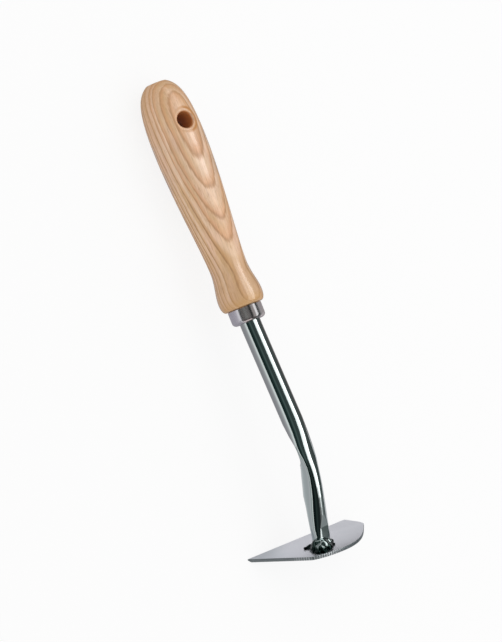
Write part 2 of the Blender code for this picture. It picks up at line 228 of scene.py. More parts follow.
def millimetres(add, own=Matrix()):
    """Coordinates in millimetres, along the tool's axes or those of a frame within it."""
    return add("Mapping", (add("TexCoord").outputs["Object"], LAY @ own.translation,
                           (TILT @ own.to_3x3()).to_euler(), (MM, MM, MM)),
               vector_type="TEXTURE")


def stretched_noise(add, where, scale, detail=3, limits=()):
    """Noise that is drawn out; limits are Map Range's, so that it becomes a share."""
    stretched = add("Mapping", {"Vector": where, "Scale": scale})
    noise = add("TexNoise", (stretched, 1, detail))
    return add("MapRange", (noise, *limits)) if limits else noise


def dress(add, shader, tone, marks, strength, depth, inputs):
    """Give a shader its colour, its marks as relief, with a depth in metres, and the rest."""
    bump = add("Bump", {"Height": marks, "Strength": strength, "Distance": depth})
    feed(shader, {"Base Color": tone, "Normal": bump} | inputs)


# %% Lacquered ash
GRIP_LENGTH = 135
RING_TILT = (-0.0515, -0.0319)      # slope of the sheets along the handle and across it
RING_CURVE = (-0.00023, -0.0029)    # how they bow, per millimetre, along and across
RINGS = [16.4, 14.3, 12, 9.6, 6.4, 4.2, 0.8, -3.3, -6.3, -9, -11.4, -14]   # depths of the lines
WAVER = 1.4            # how far the sheets waver over a centimetre or two
FRAY = 0.8             # and how far they fray where single fibres cross them
GOLDEN = [(0, 0.45), (13.5, 0.2), (29.7, 0), (97.2, 0), (118.8, 0.3), (135, 0.4)]  # by distance
WET = [(0, 0.3), (32, 0.3), (35, 1), (40, 1), (43, 0.4), (47, 0.4), (50, 1), (58, 1),
       (62, 0.3), (108, 0.3), (113, 1), (130, 1), (135, 0.5)]   # where the lacquer shines
HOLE_AT = 26           # the hanging hole, from the butt
HOLE_RADIUS = 4.8
RIM = 2.2              # how far the rounding of its mouths reaches
HOLE_RAMP = 10         # radius at the end of the ramps round it


def lacquered_ash():
    """Clear lacquer over open pores: a sharp highlight on a surface that is itself dull."""
    ash, add, shader = new_material("lacquered_ash")
    where = millimetres(add)
    x, y, depth = add("SeparateXYZ", (where,)).outputs
    for axis, slope, curve in zip((x, y), RING_TILT, RING_CURVE):
        bow = add("Math MULTIPLY_ADD", (axis, curve, slope))
        depth = add("Math MULTIPLY_ADD", (axis, bow, depth))
    drift = stretched_noise(add, where, (0.03, 0.11, 0.11), 2)
    depth = add("Math MULTIPLY_ADD", (drift, WAVER, depth))
    frayed = stretched_noise(add, where, (0.12, 1.1, 1.1))
    frayed = add("Math MULTIPLY_ADD", (frayed, FRAY, depth))
    # noise is 0.5 on average, which moves all lines by half of what it adds
    moved = (WAVER + FRAY) / 2
    share = add("MapRange", (frayed, RINGS[-1] + moved, RINGS[0] + moved))
    # each line has a crisp core, and a glow that fades into the year before
    span = RINGS[0] - RINGS[-1]
    core, glow = [(0, 0)], [(0, 0)]
    for ring in sorted(RINGS)[1:-1]:
        at = (ring - RINGS[-1]) / span
        core += [(at - 0.3 / span, 0), (at, 1), (at + 0.45 / span, 0)]
        glow += [(at - 0.35 / span, 0), (at + 0.2 / span, 1), (at + 1.5 / span, 0)]
    core = add("ValToRGB", (share,), core + [(1, 0)])
    glow = add("ValToRGB", (share,), glow + [(1, 0)])

    # years differ: the noise runs along the sheets, and changes quickly only with depth
    sheet = add("CombineXYZ", (x, y, depth))
    years = stretched_noise(add, sheet, (0.008, 0.05, 0.42), 2, (0.38, 0.62))
    patches = stretched_noise(add, where, (0.05, 0.16, 0.16), 3, (0.45, 0.7, 0, 0.6))
    # lines are grey-brown and crisp on the flanks, orange and soft where they lie flat
    flank = add("MapRange", (depth, 1.5, 5))
    halo = add("Math MULTIPLY", (glow, 0.75))
    halo_tone = add("Mix RGBA", (flank, "#CB9A60", "#D79C6C"))
    line = add("MapRange", (flank, 0, 1, 0.95, 0.6))
    line = add("Math MULTIPLY", (line, core))
    # pores are 0.2 mm wide and a few millimetres long; drawn twice as wide
    pores = stretched_noise(add, where, (0.16, 2.2, 2.2), 3, (0.56, 0.72, 0, 0.6))
    wood = add("Mix RGBA", (years, "#EBC9A9", "#D8B083"))
    for cover, tone in ((patches, "#EBC0A6"), (halo, halo_tone), (line, "#A2744A"), (pores, "#B98B5E")):
        wood = add("Mix RGBA", (cover, wood, tone))
    fibres = stretched_noise(add, where, (0.035, 1.4, 1.4), 4, (0.3, 0.7, 0.88, 1.08))
    wood = add("VectorMath SCALE", (wood, fibres))

    # towards both ends the cut runs deeper into the grain, which drinks lacquer and turns
    # golden, most of all at the shoulder, which is nearly end grain
    grip_share = add("Math DIVIDE", (x, GRIP_LENGTH))
    golden, wet = (add("ValToRGB", (grip_share,), [(at / GRIP_LENGTH, part) for at, part in row])
                   for row in (GOLDEN, WET))
    shoulder = add("MapRange", (x, 129, 133.5, 0, 0.6))
    # so does the hanging hole's bore, and a ring where its rounding starts
    from_hole = add("Math SUBTRACT", (x, HOLE_AT))
    radius = add("CombineXYZ", (from_hole, y))
    radius = add("VectorMath LENGTH", (radius,))
    radius = add("Math DIVIDE", (radius, HOLE_RAMP))
    ring = add("ValToRGB", (radius,), [(0.6, 0), (0.68, 1), (0.74, 1), (0.84, 0)])
    lower_side = add("MapRange", (y, -5, 3, 0.2, 1))
    ring = add("Math MULTIPLY", (ring, lower_side))
    bore = add("ValToRGB", (radius,), [(0, 1), (0.49, 1), (0.535, 0)])
    for cover, tone in ((golden, "#C4935C"), (shoulder, "#CFA066"), (ring, "#C08448"),
                        (bore, "#C07A45")):
        wood = add("Mix RGBA", (cover, wood, tone))

    dress(add, shader, wood, fibres, 0.25, 0.00012,
          {"Roughness": 0.5, "Coat Weight": wet, "Coat Roughness": 0.09, "Coat IOR": 1.65})
    return ash


ASH = lacquered_ash()

# %% [markdown]
# ## Turned pieces
# A lathe spins an outline round an axis. In Geometry Nodes that is a grid with one row for
# each point of the outline and one column for each step round the axis: every grid vertex
# looks up its outline point by its row, and is set at that radius, turned by its column.
# The bent tube further down grows on the same grid.

# %% A lathe in Geometry Nodes
def wrapped_grid(add, points, sides):
    """The grid, and the row and the turn of each of its vertices."""
    columns = add("Math ADD", (sides, 1))
    rows = add("AttributeDomainSize", {"Geometry": points})
    grid = add("MeshGrid", {"Vertices X": rows, "Vertices Y": columns})
    index = add("InputIndex")
    row = add("Math DIVIDE", (index, columns))
    row = add("Math FLOOR", (row,))
    column = add("Math MODULO", (index, columns))
    turn = add("Math DIVIDE", (column, sides))
    return grid, row, add("Math MULTIPLY", (turn, 2 * pi))


def end_grid(add, grid, target, finish):
    skin = add("SetPosition", {"Geometry": grid, "Position": target})
    skin = add("MergeByDistance", {"Geometry": skin, "Distance": 0.001})
    return end_tree(add, skin, finish)


def lathe_tree():
    add, inlet = new_tree("lathe", {"Outline": "Object", "Sides": "Int", "Finish": "Material"})
    outline = add("ObjectInfo", {"Object": inlet["Outline"]}).outputs["Geometry"]
    grid, row, turn = wrapped_grid(add, outline, inlet["Sides"])
    point = add("SampleIndex FLOAT_VECTOR", (outline, add("InputPosition"), row))
    x, radius, _ = add("SeparateXYZ", (point,)).outputs
    sideways, upwards = (add("Math MULTIPLY", (add("Math " + part, (turn,)), radius))
                         for part in ("SINE", "COSINE"))
    target = add("CombineXYZ", (x, sideways, upwards))
    return end_grid(add, grid, target, inlet["Finish"])


LATHE = lathe_tree()


def turned(name, outline, sides, finish):
    """A closed piece from its outline, as (distance along the axis, radius)."""
    outline = wire("outline", [(x, radius, 0) for x, radius in outline])
    return close_up(grow(LATHE, name, {"Outline": outline, "Sides": sides, "Finish": finish}))


def bezier(start, pull_start, pull_end, end, steps):
    """Points after start, up to end, of a cubic curve."""
    knots = np.array([start, pull_start, pull_end, end])
    shares = np.arange(1, steps + 1)[:, None] / steps
    weights = np.hstack([(1 - shares) ** 3, 3 * shares * (1 - shares) ** 2,
                         3 * shares ** 2 * (1 - shares), shares ** 3])
    return [tuple(point) for point in weights @ knots]


# %% [markdown]
# ## Handle
# The outline runs from the butt over a full belly to a waist and flares again before the
# shoulder, with the sizes of the measured handle. Four cubic curves draw it. They join
# level, so their pulls only say how far each runs on before it turns.

# %% Handle
# distance and radius of each knot, then of the two pulls of the curve that follows it
GRIP = [(0, 6), (4.07, 12.46), (11.84, 15.5),               # the butt's flat
        (37, 15.5), (63.8, 15.5), (97.3, 10.8),             # belly
        (111.5, 10.8), (118, 10.8), (123.6, 13.1),          # waist
        (129, 13.1), (132.5, 13.1), (GRIP_LENGTH, 12.15),   # flare
        (GRIP_LENGTH, 10.4)]                                # shoulder
GRIP_STEPS = (40, 40, 20, 10)
SPIGOT = 8.8           # radius of the part inside the ferrule
SPIGOT_END = 142.9
SPIGOT_BREAK = 1.1     # its chamfer
BORE = 6.3
BORE_END = 85.7
HANDLE_SIDES = 160


def grip_outline():
    points = [GRIP[0]]
    for number, steps in enumerate(GRIP_STEPS):
        points += bezier(*GRIP[3 * number:3 * number + 4], steps)
    return points


def grip_radius(distance):
    return float(np.interp(distance, *zip(*grip_outline())))


def make_handle():
    outline = [(0, 0), *grip_outline(), (GRIP_LENGTH, SPIGOT), (SPIGOT_END - SPIGOT_BREAK, SPIGOT),
               (SPIGOT_END, SPIGOT - SPIGOT_BREAK), (SPIGOT_END, BORE), (BORE_END, BORE),
               (BORE_END, 0)]
    return turned("ash_handle", outline, HANDLE_SIDES, ASH)


handle = make_handle()

# %% [markdown]
# ## Hanging hole
# The hole is drilled across the handle and its mouths are rounded over with a cutter, so
# no sharp edge is left. A Boolean cuts a hole as wide as the rounding, its wall is thrown
# away, and the open edge is rolled down into the narrower bore: each point follows a curve
# that leaves along the handle's skin and arrives along the bore.

# %% Hanging hole
RIM_STEPS = 7
CUTTER_SIDES = 96
CUTTER_LENGTH = 46.5
ON_WALL = 0.02         # how far off the cutter's radius a corner of its wall may lie


def on_skin(radius, turn, side):
    """The handle's surface at a distance from the hole's axis, on its upper or lower side."""
    x = HOLE_AT + radius * cos(turn)
    y = radius * sin(turn)
    return Vector((x, y, side * sqrt(grip_radius(x) ** 2 - y ** 2)))


def drill(obj):
    mouth = HOLE_RADIUS + RIM
    bpy.ops.mesh.primitive_cylinder_add(vertices=CUTTER_SIDES, radius=mouth,
                                        depth=CUTTER_LENGTH, location=(HOLE_AT, 0, 0))
    cutter = bpy.context.object
    cut = obj.modifiers.new("hanging hole", "BOOLEAN")
    cut.operation = "DIFFERENCE"
    cut.object = cutter
    bake_modifiers(obj)
    bpy.data.objects.remove(cutter)
    shape = bmesh.new()
    shape.from_mesh(obj.data)
    bmesh.ops.remove_doubles(shape, verts=shape.verts, dist=0.002)

    def on_wall(vert):
        return abs(Vector((vert.co.x - HOLE_AT, vert.co.y)).length - mouth) < ON_WALL

    wall = [face for face in shape.faces
            if all(on_wall(vert) for vert in face.verts) and abs(face.normal.z) < 0.1]
    bmesh.ops.delete(shape, geom=wall, context="FACES_ONLY")
    bmesh.ops.delete(shape, geom=[edge for edge in shape.edges if edge.is_wire], context="EDGES")
    throat = []
    for side in (1, -1):
        ring = [edge for edge in shape.edges if edge.is_boundary and edge.verts[0].co.z * side > 0]
        for step in range(1, RIM_STEPS + 1):
            share = step / RIM_STEPS
            made = bmesh.ops.extrude_edge_only(shape, edges=ring)["geom"]
            ring = [part for part in made if isinstance(part, bmesh.types.BMEdge)]
            for vert in {vert for edge in ring for vert in edge.verts}:
                turn = atan2(vert.co.y, vert.co.x - HOLE_AT)
                leave = on_skin(mouth, turn, side)
                corner = on_skin(HOLE_RADIUS, turn, side)
                arrive = corner - Vector((0, 0, side * RIM))
                vert.co = (leave * (1 - share) ** 2 + corner * 2 * share * (1 - share)
                           + arrive * share ** 2)
        throat += ring
    bmesh.ops.bridge_loops(shape, edges=throat)
    shape.to_mesh(obj.data)
    shape.free()
    return close_up(obj)


drill(handle)
place(handle, "handle")

# %% [markdown]
# ## Plated ferrule
# A pressed steel cup that keeps the wood from splitting. It is nickel plated and only lightly
# polished, so it shows its surroundings as soft bands. Reflections are also painted on it: the
# metal's colour and how metallic it is are looked up by the angle round the axis, dark along
# the top but for one bright line, and duller beside it.

# %% Plated ferrule
# painted reflection bands: the ferrule's tone and its metallic share, by degrees round the axis
PAINTED_BAND_TONES = [(-180, "#DCDCE4"), (-97, "#DCDCE4"), (-76, "#D2D2DA"), (-66, "#C0BFC6"), (-58, "#CCCACE"),
           (-50, "#E6D6D5"), (-27, "#E6D6D5"), (-21, "#6E6968"), (-8, "#6E6968"), (-4, "#868586"),
           (1, "#868586"), (5, "#747273"), (10, "#A2A0A2"), (19, "#D8D0D2"), (180, "#DCD6D8")]
PAINTED_BAND_METALLIC = [(-180, 0.92), (-58, 0.92), (-50, 0.87), (-8, 0.9), (8, 0.92), (16, 0.62), (180, 0.7)]
FERRULE_RADIUS = 9.9
FERRULE_DEPTH = 8.7
FERRULE_WALL = 0.8
FERRULE_ROUND = 2.4    # radius of its closed end's rounding
FERRULE_LIP = 0.35
FERRULE_FACE_AT = 144
FERRULE_SIDES = 128
TUBE_RADIUS = 6
SLIP = 0.3             # gap round the tube


def plated_nickel():
    plate, add, shader = new_material("plated_nickel")
    where = millimetres(add)
    _, y, z = add("SeparateXYZ", (where,)).outputs
    turn = add("Math ARCTAN2", (y, z))
    share = add("MapRange", (turn, -pi, pi))
    # painted reflection: where the bands should look dull, the metal is set less metallic, like a pale
    # coat
    tone, metal = (add("ValToRGB", (share,), [((at + 180) / 360, part) for at, part in row])
                   for row in (PAINTED_BAND_TONES, PAINTED_BAND_METALLIC))
    # a buffing wheel leaves hairlines round the cup; they are drawn 0.3 mm wide
    hairs = stretched_noise(add, where, (3, 0.1, 0.1))
    dress(add, shader, tone, hairs, 0.2, 0.00004, {"Metallic": metal, "Roughness": 0.16})
    return plate


def arc(centre, radius, first, last, steps):
    turns = [first + (last - first) * step / steps for step in range(steps + 1)]
    return [(centre[0] + radius * cos(turn), centre[1] + radius * sin(turn)) for turn in turns]


def make_ferrule():
    """The outline runs (depth from the closed face, radius) and closes on itself."""
    inner = FERRULE_RADIUS - FERRULE_WALL
    hole = TUBE_RADIUS + SLIP
    lip = FERRULE_LIP
    fold = FERRULE_ROUND - FERRULE_WALL
    outline = arc((FERRULE_DEPTH - lip, FERRULE_RADIUS - lip), lip, 0, pi / 2, 5)
    outline += arc((FERRULE_ROUND, FERRULE_RADIUS - FERRULE_ROUND), FERRULE_ROUND, pi / 2, pi, 12)
    outline += arc((lip / 2, hole + lip / 2), lip / 2, pi, 1.5 * pi, 4)
    outline += [(FERRULE_WALL, hole)]
    outline += arc((FERRULE_ROUND, inner - fold), fold, pi, pi / 2, 6)
    outline += [(FERRULE_DEPTH, inner)]
    outline.append(outline[0])
    outline = [(FERRULE_FACE_AT - depth, radius) for depth, radius in outline]
    return turned("plated_ferrule", outline, FERRULE_SIDES, plated_nickel())


ferrule = make_ferrule()
place(ferrule, "ferrule")

# %% [markdown]
# ## Bent tube
# The shank is a tube, 12 mm thick, driven into the handle, bent, and pressed below the bend
# so that its end fits the blade. A round section that can be squared, skewed and clipped by
# one flat draws all of it: each station along the path carries how far the section reaches
# away from the cutting edge, towards it and across, and where the flat clips it.

# %% Chromed tube: sections
TANG = 58              # length inside ferrule and handle
TANG_TAPER = 40
TANG_TIP = 4.5         # radius of its tip
TUBE_WALL = 1.2
TUBE_SIDES = 144
RUNS = [(TANG_TAPER, 0, 2), (TANG - TANG_TAPER, 0, 2), (6, radians(3.1), 10),
        (62, 0, 8), (28, radians(-24.6), 56), (39, 0, 78)]   # length, bend, steps
# The section by height above the blade, in half sizes: the bend has flattened the tube, the
# press has squared it, and a last blow has left a flat above the foot.
HEIGHTS = [0, 6, 12, 18.5, 24, 30, 36, 42, 48, 51, 52.5, 56, 60, 66, 72]
SIZES = {
    "outer": [4.6, 5, 5.2, 5.25, 5.2, 5.1, 4.8, 4.45, 4.25, 4.35, 4.4, 4.7, 5, 5.5, 6],
    "inner": [3.6, 3.5, 3.3, 5, 5.8, 7.3, 7.3, 7.1, 5.5, 4.5, 4.6, 5.2, 5.6, 6, 6],
    "across": [5.5, 5.5, 5.8, 5.65, 5.4, 5, 4.7, 4.5, 4.7, 5.4, 5.7, 5.9, 6.05, 6, 6],
    "flat": [5, 4.4, 4.3, 5.5] + [9] * 11}
# How far its middle lies off the path and how it slopes; how round it is, 1, or squared,
# less, on its outer and inner half; and how softly the flat runs into the round.
SHAPES = {
    "middle": [0, -0.1, -0.2, 0.2, 0.55, 0.9, 1.15, 1.15, 1, 0.7, 0.45, -0.15, -0.45, -0.4, 0],
    "skew": [-0.12, -0.06, -0.02, 0.01, 0.02, 0.02, 0.01, -0.02, -0.07, -0.08, -0.07, -0.06, -0.05,
             -0.01, 0],
    "over": [0.9, 0.8, 1, 1.04, 1.04, 1, 0.93, 0.87, 0.83, 0.85, 0.87, 0.93, 0.95, 0.95, 1],
    "under": [0.9, 0.9, 0.9, 0.9, 0.8, 0.7, 0.7, 0.7, 0.7, 0.8] + [1] * 5,
    "fillet": [3, 1.5] + [0.3] * 13}
FLAT_LEAN = 0.14       # how much the flat falls towards +Y


# %% Chromed tube: the tree
def tube_tree():
    add, inlet = new_tree("pressed tube", {"Path": "Object", "Sides": "Int", "Finish": "Material"})
    path = add("ObjectInfo", {"Object": inlet["Path"]}).outputs["Geometry"]
    grid, row, turn = wrapped_grid(add, path, inlet["Sides"])

    def station(name, kind="FLOAT"):
        field = add("InputNamedAttribute " + kind, {"Name": name})
        return add("SampleIndex " + kind, (path, field, row))

    def squared_off(value):
        """Keeps the sign and takes the size to the station's power."""
        raised = add("Math ABSOLUTE", (value,))
        raised = add("Math POWER", (raised, power))
        sign = add("Math SIGN", (value,))
        return add("Math MULTIPLY", (raised, sign))

    centre = add("SampleIndex FLOAT_VECTOR", (path, add("InputPosition"), row))
    sine = add("Math SINE", (turn,))
    cosine = add("Math COSINE", (turn,))
    upper = add("Math GREATER_THAN", (cosine, 0))
    power = add("Mix FLOAT", (upper, station("under"), station("over")))
    reach = add("Mix FLOAT", (upper, station("inner"), station("outer")))
    spread = add("Math MULTIPLY", (squared_off(sine), station("across")))
    rise = add("Math MULTIPLY_ADD", (squared_off(cosine), reach, station("middle")))
    rise = add("Math MULTIPLY_ADD", (spread, station("skew"), rise))
    flat = add("Math MULTIPLY_ADD", (spread, -FLAT_LEAN, station("flat")))
    rise = add("Math SMOOTH_MIN", (rise, flat, station("fillet")))
    lifted = add("VectorMath SCALE", (station("lift", "FLOAT_VECTOR"), rise))
    target = add("VectorMath ADD", (centre, lifted))
    sideways = add("CombineXYZ", {"Y": spread})
    target = add("VectorMath ADD", (target, sideways))
    return end_grid(add, grid, target, inlet["Finish"])


TUBE = tube_tree()

# %% Chromed tube: path
def tube_path():
    """Stations from the tang's tip to the foot, as (point, angle, distance from the tip)."""
    point = Vector((FERRULE_FACE_AT - TANG, 0, 0))
    angle = walked = 0
    stations = [(point.copy(), angle, walked)]
    for length, bend, steps in RUNS:
        for _ in range(steps):
            heading = angle + bend / steps / 2
            point += Vector((cos(heading), 0, sin(heading))) * (length / steps)
            angle += bend / steps
            walked += length / steps
            stations.append((point.copy(), angle, walked))
    return stations


# %% [markdown]
# The bend's inner side buckled as tubes do: it folds in under a lip along both flanks. Only
# the stretch near the crease differs, so the finished mesh is moved there, by numpy.

# %% Chromed tube: the buckle
BUCKLE_HEIGHTS = [49, 53, 57, 63, 72]
BUCKLE = [0, 0.8, 0.88, 0.45, 0]       # share of the fold at these heights
LIP_LIFT = 0.21        # the lip's place, as a share of the section's reach
LIP_SPREAD = 0.97
FLANK_LEAN = radians(52)
FOLD_DEPTH = 0.75      # as a share of the reach
FOLD_POWER = 1.6       # above 1, the fold is narrower than a round


def buckle(obj, stations):
    """Move what lies beside the crease from a round section to a folded one."""
    count = len(obj.data.vertices)
    flat = np.empty(3 * count, np.float32)
    obj.data.vertices.foreach_get("co", flat)
    places = flat.reshape(-1, 3).astype(float)
    spots = np.array([tuple(spot) for spot, _, _ in stations])
    angles = np.array([angle for _, angle, _ in stations])
    heights = stations[-1][2] - np.array([walked for _, _, walked in stations])
    near = np.argmin((places[:, None, 0] - spots[None, :, 0]) ** 2
                     + (places[:, None, 2] - spots[None, :, 2]) ** 2, axis=1)
    share = np.interp(heights[near], BUCKLE_HEIGHTS, BUCKLE)
    lifts = np.stack([-np.sin(angles[near]), np.zeros(count), np.cos(angles[near])], axis=1)
    up = np.sum((places - spots[near]) * lifts, axis=1)
    side = places[:, 1]
    size = np.hypot(up, side) + 1e-9
    turn = np.arctan2(np.abs(side), up)
    upper = turn <= pi / 2
    lip = LIP_LIFT * size
    lean = FLANK_LEAN * turn / (pi / 2)
    under = np.clip(turn - pi / 2, 0, pi / 2)
    full = np.cos(FLANK_LEAN)
    new_up = np.where(upper, lip + (size - lip) * (np.cos(lean) - full) / (1 - full),
                      lip - (size * FOLD_DEPTH + lip) * np.sin(under))
    new_side = np.where(upper, np.sin(lean) / np.sin(FLANK_LEAN), (1 - under / (pi / 2)) ** FOLD_POWER)
    new_side = np.sign(side) * LIP_SPREAD * size * new_side
    places += lifts * ((new_up - up) * share)[:, None]
    places[:, 1] += (new_side - side) * share
    obj.data.vertices.foreach_set("co", places.ravel().astype(np.float32))
    obj.data.update()


# %% Chromed tube
def chromed_steel():
    """Polished and chromed: a mirror, but for the faint waves that the drawn tube keeps."""
    chrome, add, shader = new_material("chromed_steel")
    waves = add("TexNoise", (millimetres(add), 0.8, 3))
    dress(add, shader, "#C2CBCA", waves, 0.3, 0.00003, {"Metallic": 1, "Roughness": 0.06})
    return chrome


def make_tube():
    """The skin runs from tip to foot, back inside the wall, and closes on its first row."""
    stations = tube_path()
    rows = {name: [] for name in ("lift", *SIZES, *SHAPES)}
    points = []
    for growth, order in ((0, stations), (-TUBE_WALL, stations[::-1]), (0, stations[:1])):
        for point, angle, walked in order:
            height = stations[-1][2] - walked
            small = (1 - min(walked / TANG_TAPER, 1)) * (TUBE_RADIUS - TANG_TIP)
            points.append(point)
            rows["lift"].append((-sin(angle), 0, cos(angle)))
            for name, row in SIZES.items():
                rows[name].append(float(np.interp(height, HEIGHTS, row)) - small + growth)
            for name, row in SHAPES.items():
                rows[name].append(float(np.interp(height, HEIGHTS, row)))
    path = wire("tube_path", points, attributes=rows)
    tube = grow(TUBE, "chromed_tube", {"Path": path, "Sides": TUBE_SIDES, "Finish": chromed_steel()})
    buckle(tube, stations)
    return close_up(tube, sharp=radians(9))


tube = make_tube()
place(tube, "shank")

# %% [markdown]
# ## Blade
# A small shaped plate, blanked from 2 mm steel sheet. Blanking leaves its marks on the edge:
# a rounded shoulder where the punch went in, a bright band under it, and a torn, ribbed zone
# to the other face. So the plate is built as rows round its outline, each row a little
# further in or out, and its two faces close the first and the last row.

# %% The foot's frame
foot, foot_angle, _ = tube_path()[-1]
FOOT = Matrix(((0, -sin(foot_angle), cos(foot_angle)), (1, 0, 0),
               (0, cos(foot_angle), sin(foot_angle)))).to_4x4()
FOOT.translation = foot
print("the foot stands at", tuple(round(value, 1) for value in foot), "mm")

# %% Blade: outline
SEAT = 0.3             # gap between the foot and the plate
PLATE = 2
EDGE_TO_FOOT = 23.2
POINT_TO_MIDDLE = 35.6
HEEL_TO_MIDDLE = 36
BACK_TO_FOOT = 13.3
SLANT = (19.83, 30.88)  # from the point to where the back turns in
BULGE = (1.8, 12.5)     # from the heel
SHOULDER = (-1.7, 19.4)
CROWN_SHIFT = 4.6
BACK_LEAN = radians(50)
EDGE_STEP = 0.25


def evenly(points, step):
    """The same line with its points a step apart, both ends kept."""
    points = np.array(points)
    lengths = np.r_[0, np.cumsum(np.linalg.norm(np.diff(points, axis=0), axis=1))]
    marks = np.linspace(0, lengths[-1], max(2, round(lengths[-1] / step) + 1))
    return np.stack([np.interp(marks, lengths, points[:, axis]) for axis in (0, 1)], axis=1)


def plate_outline():
    """Across and away from the cutting edge, anticlockwise from the point."""
    tip = np.array((-POINT_TO_MIDDLE, -EDGE_TO_FOOT))
    heel = np.array((HEEL_TO_MIDDLE, -EDGE_TO_FOOT))
    bulge, shoulder, turn_in = heel + BULGE, heel + SHOULDER, tip + SLANT
    crown = np.array((CROWN_SHIFT, BACK_TO_FOOT))
    lean = np.array((-cos(BACK_LEAN), sin(BACK_LEAN)))
    slant = np.array(SLANT) / np.linalg.norm(SLANT)
    level = np.array((1, 0))
    climb = np.array((0, 0.3 * BULGE[1]))
    back = shoulder[0] - crown[0]
    front = crown[0] - turn_in[0]
    curves = [(heel, heel + 0.3 * np.array(BULGE), bulge - climb, bulge, 12),
              (bulge, bulge + climb, shoulder - lean * climb[1], shoulder, 12),
              (shoulder, shoulder + lean * back * 0.54, crown + level * back * 0.41, crown, 40),
              (crown, crown - level * front * 0.45, turn_in + slant * front * 0.2, turn_in, 30)]
    sides = [[tip, heel]] + [[curve[0]] + bezier(*curve) for curve in curves] + [[turn_in, tip]]
    return np.concatenate([evenly(side, EDGE_STEP)[:-1] for side in sides])


outline = plate_outline()
print("the blade's outline has", len(outline), "points")

# %% Blade: finishes
def satin_steel():
    """Blasted and plated sheet: the blasting scatters light evenly, so no sharp mirror image."""
    steel, add, shader = new_material("satin_steel")
    where = millimetres(add, FOOT)
    clouds = add("TexNoise", (where, 0.16, 3))
    tone = add("Mix RGBA", (clouds, "#D8DDE2", "#E6E8EC"))
    gloss = add("MapRange", (clouds, 0, 1, 0.33, 0.43))
    # the blasting's pits are 0.1 mm wide; drawn three times as wide, so that they show
    pits = add("TexNoise", (where, 2.6, 3))
    dress(add, shader, tone, pits, 0.35, 0.00005, {"Metallic": 1, "Roughness": gloss})
    return steel


def marked_steel(name, scale, detail, tones, strength, depth, roughness):
    """Steel that a tool has marked: the marks' scale, their two tones and their relief."""
    steel, add, shader = new_material(name)
    where = millimetres(add, FOOT)
    marks = stretched_noise(add, where, scale, detail)
    tone = add("Mix RGBA", (marks, *tones))
    dress(add, shader, tone, marks, strength, depth, {"Metallic": 1, "Roughness": roughness})
    return steel, add, shader, where, tone


def sheared_steel():
    """The blanked edge: torn across the sheet's thickness, darker and rougher than the face."""
    steel, add, shader, where, tone = marked_steel(
        "sheared_steel", (2.4, 2.4, 0.25), 4, ("#5E6669", "#92999C"), 0.6, 0.0002, 0.5)
    # the ribs' crests are rubbed bright
    rib = add("Attribute", attribute_name="rib").outputs["Fac"]
    tone = add("Mix RGBA", (rib, tone, "#F2F5F7"))
    # towards the point the tear is finer, and the edge lighter
    across_at = add("SeparateXYZ", (where,)).outputs["X"]
    fineness = add("MapRange", (across_at, -2, -12, 0, 0.33))
    tone = add("Mix RGBA", (fineness, tone, "#D4DADC"))
    feed(shader, {"Base Color": tone})
    return steel


def ground_steel():
    """The cutting bevel: a belt leaves fine lines square to the edge, 0.05 mm wide; drawn 0.2."""
    return marked_steel("ground_steel", (5, 0.15, 0.15), 3, ("#B9BCC0", "#DADCDF"), 0.5, 0.00005,
                        0.28)[0]


# %% Blade: rows round the outline
ROWS = [(0.12, 0), (0.06, 0.02), (0.02, 0.06), (0, 0.14), (0, 0.6), (0.02, 0.95),
        (0.07, 1.3), (0.1, 1.7), (0.13, 1.9), (0.2, 2)]   # inset, depth from the inner face
TORN_FROM = 0.95       # depth at which the tear begins
TEAR = 0.012           # how rough it is
RIB_PITCH = 1.5        # the ribs that the worn punch left along part of the back
RIB_DEPTH = 0.1
RIBS_AT = (-10, 15)    # middle and half length of that part, across the blade
RIB_FADE = 1.6         # above 1, they keep their full depth over more of it
LAND = 0.8             # thickness left at the cutting edge
BEVEL = 1.5            # how far the bevel reaches in


